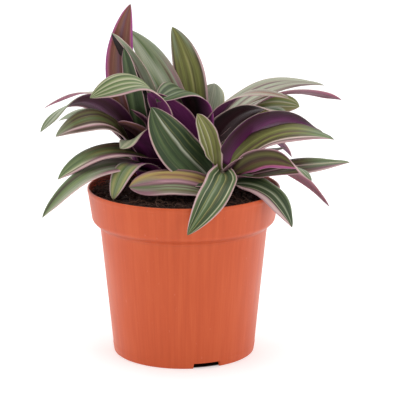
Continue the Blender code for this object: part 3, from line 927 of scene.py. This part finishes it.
# %% Leaf bands
# Each row: upper face, lower face, and where given the upper face towards the tip and the place
# along the leaf, from 0 to 1, where it takes over.
BANDS = {
    "front_hanging": (
        "blush 0 pink 3 leaf 5 leaf 11 cream 13 cream 14 moss 17 deep 29 olive 37 straw 39 "
        "moss 42 leaf 50 sage 55 leaf 60 straw 62 moss 65 deep 76 cream 78 moss 81 leaf 92 "
        "blush 95 pink 98 blush 100",
        "pink 0 plum 4 violet 30 plum 70 pink 100",
    ),
    "right_drooping": (
        "silver 0 sage 5 leaf 10 deep 18 deep 34 sage 42 silver 45 moss 49 deep 60 deep 68 "
        "cream 71 moss 74 umber 79 pink 82 blush 90 pink 100",
        "pink 0 plum 4 violet 30 plum 70 pink 100",
    ),
    "right_thin": (
        "pink 0 dusk 5 mauve 40 dusk 70 mauve 95 pink 100",
        "pink 0 mauve 6 dusk 40 mauve 70 pink 100",
    ),
    "right_low_long": (
        "mauve 0 umber 5 bark 16 olive 24 bark 34 umber 42 mauve 46 blush 49 mauve 53 umber 57 "
        "olive 68 umber 78 olive 88 bark 97 pink 100",
        "pink 0 maroon 6 plum 70 pink 100",
        "sage 0 fresh 14 leaf 30 sage 44 cream 48 cream 53 sage 57 leaf 70 mauve 90 blush 100",
        0.62,
    ),
    "right_folded": (
        "sage 0 mist 20 leaf 34 silver 44 sage 56 leaf 66 sage 80 pink 87 blush 93 pink 100",
        "pink 0 magenta 5 rose 10 bark 17 olive 30 bark 44 umber 58 olive 72 umber 90 pink 100",
    ),
    "right_olive": (
        "bark 0 umber 5 olive 13 olive 22 lime 32 olive 40 bark 46 lime 54 olive 62 umber 72 "
        "olive 81 blush 85 blush 88 umber 92 pink 97 blush 100",
        "pink 0 maroon 6 plum 70 pink 100",
        "bark 0 umber 5 leaf 16 sage 34 leaf 50 fresh 64 leaf 76 blush 84 blush 88 bark 92 pink 100",
        0.74,
    ),
    "right_purple": (
        "sage 0 silver 20 mist 50 sage 80 blush 100",
        "blush 0 plum 4 violet 18 plum 40 violet 56 plum 74 maroon 92 plum 100",
    ),
    "centre_small": (
        "blush 0 cream 4 olive 7 lime 18 cream 23 olive 27 lime 40 straw 48 cream 51 olive 55 "
        "lime 66 olive 76 lime 90 blush 94 pink 98 blush 100",
        "pink 0 violet 6 violet 80 pink 100",
    ),
    "front_big": (
        "pink 0 blush 2 deep 4 deep 12 moss 20 leaf 26 moss 30 deep 38 moss 46 deep 54 silver 58 "
        "silver 60 deep 63 deep 74 moss 78 deep 84 moss 95 pink 98 blush 100",
        "pink 0 plum 6 violet 50 plum 90 pink 100",
    ),
    "low_yellow": (
        "pink 0 blush 4 taupe 8 olive 18 sage 26 bark 30 sage 36 bark 42 mauve 48 pink 53 "
        "mauve 60 yellow 68 rust 76 yellow 86 bark 93 mauve 100",
        "pink 0 violet 10 plum 80 pink 100",
        "pink 0 mauve 12 taupe 22 leaf 36 mauve 50 taupe 62 yellow 82 mauve 100",
        0.70,
    ),
    "right_shadow": ("pink 0 bark 6 olive 30 umber 60 bark 94 pink 100", "plum 0 maroon 50 plum 100"),
    "right_peek": ("pink 0 bark 10 mauve 50 pink 100", "pink 0 maroon 10 mauve 100"),
    "left_arch": (
        "pink 0 cream 5 sage 20 cream 40 sage 60 silver 80 cream 95 blush 100",
        "blush 0 violet 4 violet 30 plum 50 violet 66 maroon 94 pink 100",
    ),
    "left_stub": (
        "pink 0 mauve 8 rust 30 mauve 50 bark 70 mauve 90 pink 100",
        "pink 0 mauve 6 rust 26 dusk 44 rust 62 mauve 84 pink 100",
    ),
    "left_lower": (
        "pink 0 blush 5 pink 10 mauve 14 bark 22 olive 34 fresh 42 lime 48 olive 56 leaf 66 "
        "bark 76 olive 84 umber 96 bark 100",
        "pink 0 violet 6 plum 80 pink 100",
        "pink 0 blush 8 bark 14 cream 22 fresh 34 leaf 50 fresh 66 leaf 84 sage 100",
        0.66,
    ),
    "left_bottom": (
        "blush 0 pink 6 mauve 12 sage 20 silver 30 sage 40 taupe 48 leaf 56 sage 66 silver 78 "
        "mist 90 blush 100",
        "blush 0 mauve 8 plum 80 pink 100",
        "blush 0 silver 8 sage 26 fresh 42 leaf 56 umber 70 leaf 84 sage 100",
        0.55,
    ),
    "front_left_hang": (
        "blush 0 magenta 8 violet 40 violet 70 plum 90 blush 100",
        "blush 0 magenta 6 violet 40 violet 80 pink 100",
        "pink 0 blush 5 fresh 9 straw 20 fresh 34 sage 48 leaf 53 fresh 60 straw 74 fresh 88 "
        "blush 94 pink 100",
        0.50,
    ),
    "left_upper": (
        "blush 0 pink 4 sage 8 leaf 18 cream 24 fresh 30 leaf 40 cream 46 fresh 52 leaf 60 "
        "cream 65 fresh 72 leaf 82 cream 88 fresh 94 blush 100",
        "pink 0 violet 6 plum 60 violet 94 pink 100",
    ),
    # Painted shade: the pitch and ink on edge_on's lower face stand in for the deep shadow on its
    # underside.
    "edge_on": (
        "blush 0 silver 6 taupe 20 mist 40 silver 50 mist 70 stone 86 blush 100",
        "blush 0 cream 5 silver 10 mist 20 silver 30 taupe 36 blush 41 pitch 44 ink 60 pitch 80 ink 100",
    ),
    "narrow": (
        "pink 0 moss 8 deep 40 bark 56 moss 80 blush 94 blush 100",
        "pink 0 plum 30 maroon 70 pink 100",
    ),
    "tall": (
        "magenta 0 bark 10 rust 30 brick 50 bark 70 rose 92 magenta 100",
        "magenta 0 magenta 5 rose 9 brick 16 rust 30 brick 44 dusk 56 rust 70 brick 84 rose 92 "
        "magenta 100",
    ),
    "sliver": (
        "pink 0 moss 6 deep 30 leaf 50 moss 70 deep 92 blush 100",
        "blush 0 moss 6 deep 40 leaf 60 deep 92 pink 100",
    ),
    "left_purple": (
        "sage 0 silver 16 mist 30 leaf 42 silver 54 sage 70 leaf 84 silver 100",
        "pink 0 plum 4 maroon 30 plum 60 maroon 92 pink 100",
    ),
    "left_thin": ("blush 0 silver 30 mist 60 blush 100", "pink 0 mauve 10 rose 50 mauve 90 pink 100"),
    "left_mid": (
        "blush 0 umber 5 bark 14 pink 20 blush 25 bark 30 umber 38 olive 46 leaf 54 olive 62 "
        "umber 70 olive 80 bark 90 sage 97 silver 100",
        "pink 0 violet 6 plum 80 pink 100",
        "blush 0 taupe 16 silver 40 sage 60 mist 80 silver 100",
        0.90,
    ),
    "left_pale": ("silver 0 sage 24 mist 46 leaf 60 silver 76 silver 100", "pink 0 mauve 50 pink 100"),
    "left_inner": (
        "pink 0 lime 12 yellow 40 olive 60 lime 90 pink 100",
        "pink 0 rust 12 lime 60 rust 90 pink 100",
    ),
    "top_centre": (
        "blush 0 blush 4 umber 7 lime 16 olive 24 lime 32 olive 42 lime 52 straw 56 olive 62 "
        "lime 74 olive 86 umber 92 blush 95 pink 98 blush 100",
        "pink 0 violet 6 plum 80 pink 100",
        "taupe 0 olive 10 sage 24 olive 40 lime 54 olive 70 sage 84 taupe 100",
        0.72,
    ),
    "back_left_green": (
        "sage 0 mist 12 leaf 20 sage 32 silver 42 mist 52 sage 62 bark 70 mist 78 mauve 86 "
        "taupe 94 pink 100",
        "pink 0 plum 30 maroon 70 pink 100",
        "sage 0 silver 24 mist 40 leaf 52 sage 70 mist 100",
        0.66,
    ),
    "centre_arch": (
        "blush 0 moss 5 leaf 16 deep 26 sage 34 moss 40 deep 50 sage 58 moss 64 deep 74 sage 82 "
        "moss 92 blush 100",
        "magenta 0 violet 5 plum 12 ink 34 maroon 50 maroon 60 plum 74 violet 94 blush 100",
    ),
    "centre_purple": (
        "pink 0 moss 6 deep 60 pink 100",
        "pink 0 violet 5 violet 40 plum 70 violet 94 blush 100",
    ),
    "right_dark": (
        "silver 0 mist 30 moss 50 sage 70 blush 100",
        "blush 0 maroon 5 maroon 50 pitch 92 blush 100",
    ),
    "right_edge": (
        "blush 0 stone 6 taupe 40 rust 60 stone 94 blush 100",
        "pink 0 violet 5 plum 40 violet 60 plum 94 pink 100",
    ),
    "right_long_pale": (
        "blush 0 stone 4 silver 16 stone 28 dusk 34 silver 42 silver 54 dusk 60 stone 70 "
        "silver 84 taupe 96 blush 100",
        "pink 0 mauve 50 pink 100",
        "stone 0 silver 30 taupe 50 silver 70 dusk 94 taupe 100",
        0.7,
    ),
    "right_twist": (
        "blush 0 stone 4 silver 20 dusk 30 silver 42 stone 52 dusk 60 stone 74 taupe 90 blush 100",
        "pink 0 mauve 6 dusk 30 mauve 60 rose 94 pink 100",
    ),
    "right_yellow": (
        "blush 0 fresh 5 lime 16 cream 22 lime 28 fresh 38 cream 44 lime 50 fresh 60 cream 66 "
        "lime 72 straw 88 blush 100",
        "pink 0 violet 50 pink 100",
    ),
    "back_round": (
        "cream 0 silver 5 mist 20 silver 30 mist 44 silver 58 mist 72 silver 95 cream 100",
        "cream 0 mist 6 silver 18 mist 30 silver 44 mist 56 silver 70 mist 84 silver 95 cream 100",
    ),
}
GREEN_BACK = (
    "blush 0 pink 4 moss 7 leaf 20 cream 24 moss 28 deep 44 sage 52 moss 58 deep 76 cream 82 "
    "moss 92 pink 97 blush 100",
    "pink 0 violet 5 plum 60 violet 95 pink 100",
)
OLIVE_BACK = (
    "pink 0 bark 5 olive 20 lime 34 olive 44 blush 50 olive 56 leaf 76 olive 94 blush 100",
    "pink 0 plum 5 violet 50 plum 95 pink 100",
)
PALE_BACK = (
    "blush 0 sage 6 silver 20 leaf 30 sage 44 cream 54 mist 70 leaf 84 blush 100",
    "pink 0 violet 6 plum 50 mauve 94 pink 100",
)
for number in range(1, 12):
    BANDS[f"back_{number}"] = (GREEN_BACK, OLIVE_BACK, PALE_BACK)[number % 3]

# %% Leaf finish
def leaf_skin(name, seed, upper, lower, tip=None, tip_from=0.7):
    """Bands across the leaf, wavered and streaked by noise drawn out along it, with thin pale and
    dark veins over them. The lower face has its own bands, chosen by the "lower_face" mark."""
    bench = Bench("leaf_skin_" + name)
    u, v, _ = bench.split(bench.put("UVMap", {}, uv_map="leaf_map"))

    def along(across_scale, along_scale, shift, detail=2.0):
        """Noise on the leaf map, with a scale for each way."""
        across, far = bench.sum("MULTIPLY", u, across_scale), bench.sum("MULTIPLY", v, along_scale)
        spot = bench.join(across, far, seed * shift)
        return bench.noise(spot, 1.0, detail, 0.6)

    streak = along(26.0, 1.2, 3.7, 3.0)
    fine = along(80.0, 3.2, 1.9)
    drift = along(1.5, 3.0, 5.1)
    fade = along(9.0, 2.2, 7.3)
    waver = bench.sum("MULTIPLY_ADD", streak, 0.07, bench.sum("MULTIPLY_ADD", drift, 0.09, -0.08))
    edge_hold = bench.sum("MULTIPLY", bench.sum("MULTIPLY", u, bench.sum("SUBTRACT", 1.0, u)), 4.0)
    place = bench.sum("MULTIPLY_ADD", waver, edge_hold, u)

    def veins(count, thin):
        """Thin even lines: 1 on each line and 0 between them."""
        wave = bench.sum("PINGPONG", bench.sum("MULTIPLY_ADD", place, count, seed * 0.37), 0.5)
        return bench.spread(wave, 0.0, thin, 1.0, 0.0)

    colour = bench.ramp(place, bands(upper))
    if tip:
        reach = bench.sum("MULTIPLY_ADD", waver, 0.8, v)
        near_tip = bench.spread(reach, tip_from - 0.06, tip_from + 0.12)
        colour = bench.mix(near_tip, colour, bench.ramp(place, bands(tip)))
    pale = bench.sum("MULTIPLY", veins(8.0, 0.16), bench.spread(fade, 0.42, 0.62, 0.0, 0.34))
    colour = bench.mix(pale, colour, linear(*SHADES["straw"]))
    dark = bench.sum("MULTIPLY", veins(13.0, 0.2), bench.spread(fade, 0.4, 0.6, 0.36, 0.0))
    colour = bench.mix(dark, colour, linear(*SHADES["moss"]))
    shade = bench.spread(fine, 0.3, 0.7, 0.74, 1.2)
    colour = bench.mix(1.0, colour, bench.join(shade, shade, shade), "MULTIPLY")
    below = bench.ramp(place, bands(lower))
    mixed = bench.sum("MULTIPLY_ADD", fine, 0.5, bench.sum("MULTIPLY", streak, 0.5))
    shade_below = bench.spread(mixed, 0.35, 0.65, 0.74, 1.22)
    below = bench.mix(1.0, below, bench.join(shade_below, shade_below, shade_below), "MULTIPLY")
    lower_face = bench.put("Attribute", {}, attribute_name="lower_face").node.outputs["Fac"]
    colour = bench.mix(bench.spread(lower_face, 0.35, 0.65), colour, below)
    rough = bench.spread(streak, 0.3, 0.7, 0.42, 0.56)
    normal = bench.bump(streak, 0.35, 0.0005)
    normal = bench.bump(fine, 0.3, 0.00015, normal)
    return bench.done(colour, rough, normal, Specular_IOR_Level=0.28)


def make_leaf(row, seed):
    """The blade of one row of the table, with its own finish."""
    name = row[0]
    points, uv, under = leaf_surface(row, seed)
    finish = leaf_skin(name, seed, *BANDS[name])
    solid, marks = ["leaf_" + name], {"lower_face": under}
    return make_piece("blade_" + name, points, LEAF_FACES, finish, solid, "leaf_skin", uv, marks)


blades = [make_leaf(row, seed) for seed, row in enumerate(LEAVES, start=21)]
print("blades:", len(blades), "with", sum(len(blade.data.polygons) for blade in blades), "faces")

# %% [markdown]
# ## Does each blade keep to its solid?
# A blade should stay near its solid, so the sides of the two boxes are compared. The blades are
# wider than the solids, which must not overlap, and some stand another way. So the largest gap is
# about 12 mm, and many blades pass through one another.

# %% Compare with the solids
def box_gap(blade):
    """The largest distance in millimetres between a side of the blade's box and its solid's."""
    low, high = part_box("leaf_" + blade.name.removeprefix("blade_"))
    count = len(blade.data.vertices)
    points = np.empty(count * 3, np.float32)
    blade.data.vertices.foreach_get("co", points)
    points = points.reshape(-1, 3)
    gaps = np.abs(np.concatenate([points.min(axis=0) - low, points.max(axis=0) - high]))
    return round(float(gaps.max()) * 1000, 1)


gaps = {blade.name: box_gap(blade) for blade in blades}
print("largest gaps in mm:", sorted(gaps.items(), key=lambda item: -item[1])[:6])

# %% [markdown]
# ## The table, the light and the camera
# The plant stands on a plain white floor under large soft lights, with a long lens a little above
# the rim. The floor glows a little, and inside the foot that glow would show through the notches.
# So a disc of the floor there is painted dark, as the shade under the pot, and has no glow.
# It belongs to the floor, not to the pot.

# %% Floor
FLOOR_HALF = 12
FLOOR_GLOW = 0.36
SHADE_FADE = 0.0015


def floor_white():
    """Pale grey outside the foot and painted dark inside it as the shade under the pot, by the distance
    from the axis.
    """
    bench = Bench("floor_white")
    place = bench.places()
    grain = bench.noise(place, 40.0, 2.0)
    colour = bench.ramp(grain, [(0.3, (0.78, 0.78, 0.78, 1)), (0.7, (0.80, 0.80, 0.80, 1))])
    x, y, _ = bench.split(place)
    reach = bench.reach(x, y)
    # Painted shade: inside the foot the floor is dark and has no glow, standing in for the shade under
    # the pot.
    open_floor = bench.spread(reach, foot_in - SHADE_FADE, foot_in)
    colour = bench.mix(open_floor, linear(34, 24, 20), colour)
    glow = bench.mix(open_floor, (0.0, 0.0, 0.0, 1.0), (1.0, 1.0, 1.0, 1.0))
    light = {"Emission_Color": glow, "Emission_Strength": FLOOR_GLOW}
    return bench.done(colour, 0.9, None, Specular_IOR_Level=0.1, **light)


mesh = bpy.data.meshes.new("floor")
sides = (-1, -1), (1, -1), (1, 1), (-1, 1)
corners = [(x * FLOOR_HALF, y * FLOOR_HALF, 0) for x, y in sides]
mesh.from_pydata(corners, [], [(0, 1, 2, 3)])
mesh.materials.append(floor_white())
floor = bpy.data.objects.new("floor", mesh)
bpy.context.scene.collection.objects.link(floor)

# %% Lights
def soft_light(name, place, size, power, aim=(0, 0, 0.1)):
    """A square lamp that faces its aim."""
    light = bpy.data.lights.new(name, "AREA")
    light.shape = "SQUARE"
    light.size = size
    light.energy = power
    lamp = bpy.data.objects.new(name, light)
    lamp.location = place
    lamp.rotation_mode = "QUATERNION"
    lamp.rotation_quaternion = (Vector(aim) - Vector(place)).to_track_quat("-Z", "Y")
    bpy.context.scene.collection.objects.link(lamp)


soft_light("key_right", (1.2, -0.9, 1.1), 0.9, 5.2)
soft_light("fill_left", (-1.3, -0.6, 0.8), 1.0, 3.4)
soft_light("top", (0.0, 0.2, 1.6), 1.2, 5)
world = bpy.data.worlds.new("studio")
world.use_nodes = True
surround = world.node_tree.nodes["Background"]
surround.inputs["Strength"].default_value = 1.0
ways = world.node_tree.nodes.new("ShaderNodeTexCoord")
way = world.node_tree.nodes.new("ShaderNodeSeparateXYZ")
dim = world.node_tree.nodes.new("ShaderNodeMapRange")
for number, value in enumerate((-0.9, 0.45, 0.36, 1.4), start=1):
    dim.inputs[number].default_value = value
world.node_tree.links.new(ways.outputs["Generated"], way.inputs[0])
world.node_tree.links.new(way.outputs["Y"], dim.inputs[0])
world.node_tree.links.new(dim.outputs[0], surround.inputs["Color"])
bpy.context.scene.world = world
bpy.context.scene.view_settings.view_transform = "Standard"

# %% Camera
CAMERA_RISE = 15.7
CAMERA_DISTANCE = 1.2
LENS = 171.4
AIM_RIGHT = 0.4905
AIM_UP = 2.018


def make_camera():
    """Stands in front of the pot's middle, a little above it, and looks a little up and to the
    right of it, so that the plant sits where the frame wants it."""
    rise = math.radians(CAMERA_RISE)
    middle = Vector((0, 0, POT_HEIGHT / 2))
    back = Vector((0, -math.cos(rise), math.sin(rise)))
    right = Vector((1, 0, 0))
    up = back.cross(right)
    look = -back + right * math.tan(math.radians(AIM_RIGHT)) + up * math.tan(math.radians(AIM_UP))
    data = bpy.data.cameras.new("camera")
    data.lens = LENS
    data.sensor_width = 36
    camera = bpy.data.objects.new("camera", data)
    camera.location = middle + back * CAMERA_DISTANCE
    camera.rotation_mode = "QUATERNION"
    camera.rotation_quaternion = look.to_track_quat("-Z", "Y")
    bpy.context.scene.collection.objects.link(camera)
    return camera


bpy.context.scene.camera = make_camera()
print("camera at", [round(v, 3) for v in bpy.context.scene.camera.location])

# %% Bring the scene up to date
bpy.context.view_layer.update()
